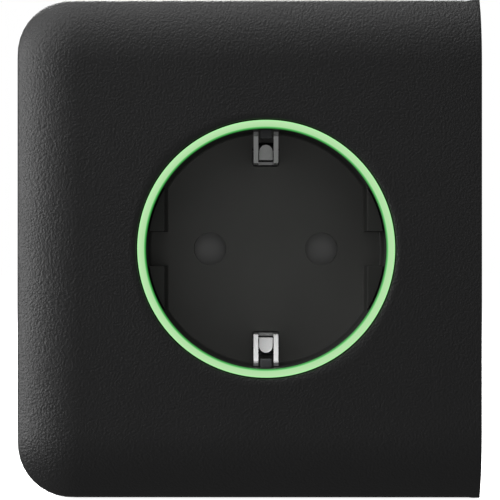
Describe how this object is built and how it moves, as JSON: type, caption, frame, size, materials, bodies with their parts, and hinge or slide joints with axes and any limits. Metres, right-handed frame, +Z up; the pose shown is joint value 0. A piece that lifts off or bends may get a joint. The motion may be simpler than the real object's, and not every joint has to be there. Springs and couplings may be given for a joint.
{
  "type": "flush-mounted smart socket-outlet",
  "caption": "Flush-mounted earthed smart socket-outlet with a matt black end cover, a lit ring round the plug well, shuttered pin holes and a rear wall-box body.",
  "frame": {"origin": "where the plug axis meets the wall surface", "axes": "+X to the right seen from the front, +Y into the wall along the plug axis, +Z up"},
  "size_m": [0.0758, 0.0486, 0.0816],
  "materials": {
    "cover_black": "fine moulded grain, matt",
    "well_black": "smooth matt black thermoplastic",
    "light_guide": "frosted light guide, lit green",
    "shutter_grey": "smooth dark grey thermoplastic",
    "contact_steel": "plated spring steel, satin",
    "strap_steel": "zinc-plated sheet steel",
    "screw_steel": "zinc-plated screws",
    "contact_brass": "plain brass",
    "housing_grey": "dark grey glass-filled plastic",
    "insulator_grey": "mid grey thermoset",
    "terminal_grey": "dark grey plastic",
    "circuit_board": "green solder mask",
    "led_board_white": "white solder mask",
    "component_black": "moulded epoxy",
    "component_blue": "coated component",
    "component_white": "moulded nylon",
    "shield_metal": "tinned sheet shield"
  },
  "bodies": {
    "base": {"light_ring": "light_guide", "socket_well": "well_black", "led_board": "led_board_white", "led_1": "component_white", "led_2": "component_white", "led_3": "component_white", "led_4": "component_white", "led_5": "component_white", "led_6": "component_white", "led_ribbon": "component_white", "fuse": "component_white", "ribbon_connector": "component_white", "mounting_strap": "strap_steel", "body_screw_1": "screw_steel", "body_screw_2": "screw_steel", "body_screw_3": "screw_steel", "body_screw_4": "screw_steel", "shutter_spring": "screw_steel", "earth_bracket": "contact_steel", "contact_carrier": "insulator_grey", "live_contact": "contact_brass", "neutral_contact": "contact_brass", "live_busbar": "contact_brass", "neutral_busbar": "contact_brass", "earth_busbar": "contact_brass", "terminal_cage_1": "contact_brass", "terminal_cage_2": "contact_brass", "terminal_cage_3": "contact_brass", "rear_housing": "housing_grey", "terminal_block": "terminal_grey", "main_board": "circuit_board", "radio_board": "circuit_board", "relay": "component_black", "transformer": "component_black", "input_capacitor": "component_blue", "output_capacitor": "component_blue", "varistor": "component_blue", "radio_shield": "shield_metal"},
    "cover": {"cover_plate": "cover_black"},
    "shutter": {"shutter_rotor": "shutter_grey"},
    "tongue_top": {"earth_tongue_top": "contact_steel"},
    "tongue_bottom": {"earth_tongue_bottom": "contact_steel"},
    "live_leaf_outer": {"live_leaf_b": "contact_brass"},
    "live_leaf_inner": {"live_leaf_a": "contact_brass"},
    "neutral_leaf_outer": {"neutral_leaf_a": "contact_brass"},
    "neutral_leaf_inner": {"neutral_leaf_b": "contact_brass"},
    "claw_right": {"claw_right": "strap_steel"},
    "claw_left": {"claw_left": "strap_steel"},
    "claw_screw_right": {"claw_screw_right": "screw_steel"},
    "claw_screw_left": {"claw_screw_left": "screw_steel"},
    "clamp_1": {"clamp_plate_1": "screw_steel"},
    "screw_1": {"terminal_screw_1": "screw_steel"},
    "clamp_2": {"clamp_plate_2": "screw_steel"},
    "screw_2": {"terminal_screw_2": "screw_steel"},
    "clamp_3": {"clamp_plate_3": "screw_steel"},
    "screw_3": {"terminal_screw_3": "screw_steel"}
  },
  "joints": [
    {"name": "cover_pull", "type": "slide", "parent": "base", "child": "cover", "axis": [0, -1, 0], "range_m": [0, 0.03]},
    {"name": "shutter_turn", "type": "hinge", "parent": "base", "child": "shutter", "pos_m": [0, 0.01, 0], "axis": [0, 1, 0], "range_deg": [0, 38], "stiffness_Nm_per_rad": 0.004, "springref_deg": -17.19},
    {"name": "tongue_top_flex", "type": "hinge", "parent": "base", "child": "tongue_top", "pos_m": [0, 0.011, 0.0176], "axis": [-1, 0, 0], "range_deg": [0, 4], "stiffness_Nm_per_rad": 1.2},
    {"name": "tongue_bottom_flex", "type": "hinge", "parent": "base", "child": "tongue_bottom", "pos_m": [0, 0.011, -0.0176], "axis": [1, 0, 0], "range_deg": [0, 4], "stiffness_Nm_per_rad": 1.2},
    {"name": "live_leaf_outer_flex", "type": "hinge", "parent": "base", "child": "live_leaf_outer", "pos_m": [-0.01213, 0.0264, 0], "axis": [0, 0, -1], "range_deg": [0, 2.5], "stiffness_Nm_per_rad": 1.5},
    {"name": "live_leaf_inner_flex", "type": "hinge", "parent": "base", "child": "live_leaf_inner", "pos_m": [-0.00687, 0.0264, 0], "axis": [0, 0, 1], "range_deg": [0, 2.5], "stiffness_Nm_per_rad": 1.5},
    {"name": "neutral_leaf_outer_flex", "type": "hinge", "parent": "base", "child": "neutral_leaf_outer", "pos_m": [0.01213, 0.0264, 0], "axis": [0, 0, 1], "range_deg": [0, 2.5], "stiffness_Nm_per_rad": 1.5},
    {"name": "neutral_leaf_inner_flex", "type": "hinge", "parent": "base", "child": "neutral_leaf_inner", "pos_m": [0.00687, 0.0264, 0], "axis": [0, 0, -1], "range_deg": [0, 2.5], "stiffness_Nm_per_rad": 1.5},
    {"name": "claw_right_swing", "type": "hinge", "parent": "base", "child": "claw_right", "pos_m": [0.0242, 0.0028, 0], "axis": [0, 0, -1], "range_deg": [0, 15]},
    {"name": "claw_right_screw_turn", "type": "hinge", "parent": "base", "child": "claw_screw_right", "pos_m": [0.028, 0, 0], "axis": [0, 1, 0], "range_deg": [0, 1440]},
    {"name": "claw_left_swing", "type": "hinge", "parent": "base", "child": "claw_left", "pos_m": [-0.0242, 0.0028, 0], "axis": [0, 0, 1], "range_deg": [0, 15]},
    {"name": "claw_left_screw_turn", "type": "hinge", "parent": "base", "child": "claw_screw_left", "pos_m": [-0.028, 0, 0], "axis": [0, 1, 0], "range_deg": [0, 1440]},
    {"name": "clamp_1_lift", "type": "slide", "parent": "base", "child": "clamp_1", "axis": [0, 0, 1], "range_m": [0, 0.003]},
    {"name": "terminal_1_screw_turn", "type": "hinge", "parent": "clamp_1", "child": "screw_1", "pos_m": [-0.0085, 0.0319, 0], "axis": [0, 0, 1], "range_deg": [0, 1800]},
    {"name": "clamp_2_lift", "type": "slide", "parent": "base", "child": "clamp_2", "axis": [0, 0, 1], "range_m": [0, 0.003]},
    {"name": "terminal_2_screw_turn", "type": "hinge", "parent": "clamp_2", "child": "screw_2", "pos_m": [0, 0.0319, 0], "axis": [0, 0, 1], "range_deg": [0, 1800]},
    {"name": "clamp_3_lift", "type": "slide", "parent": "base", "child": "clamp_3", "axis": [0, 0, 1], "range_m": [0, 0.003]},
    {"name": "terminal_3_screw_turn", "type": "hinge", "parent": "clamp_3", "child": "screw_3", "pos_m": [0.0085, 0.0319, 0], "axis": [0, 0, 1], "range_deg": [0, 1800]}
  ],
  "couplings": [
    {"joint": "claw_right_screw_turn", "follows": "claw_right_swing", "ratio": 96},
    {"joint": "claw_left_screw_turn", "follows": "claw_left_swing", "ratio": 96},
    {"joint": "terminal_1_screw_turn", "follows": "clamp_1_lift", "rad_per_m": 10472},
    {"joint": "terminal_2_screw_turn", "follows": "clamp_2_lift", "rad_per_m": 10472},
    {"joint": "terminal_3_screw_turn", "follows": "clamp_3_lift", "rad_per_m": 10472}
  ]
}
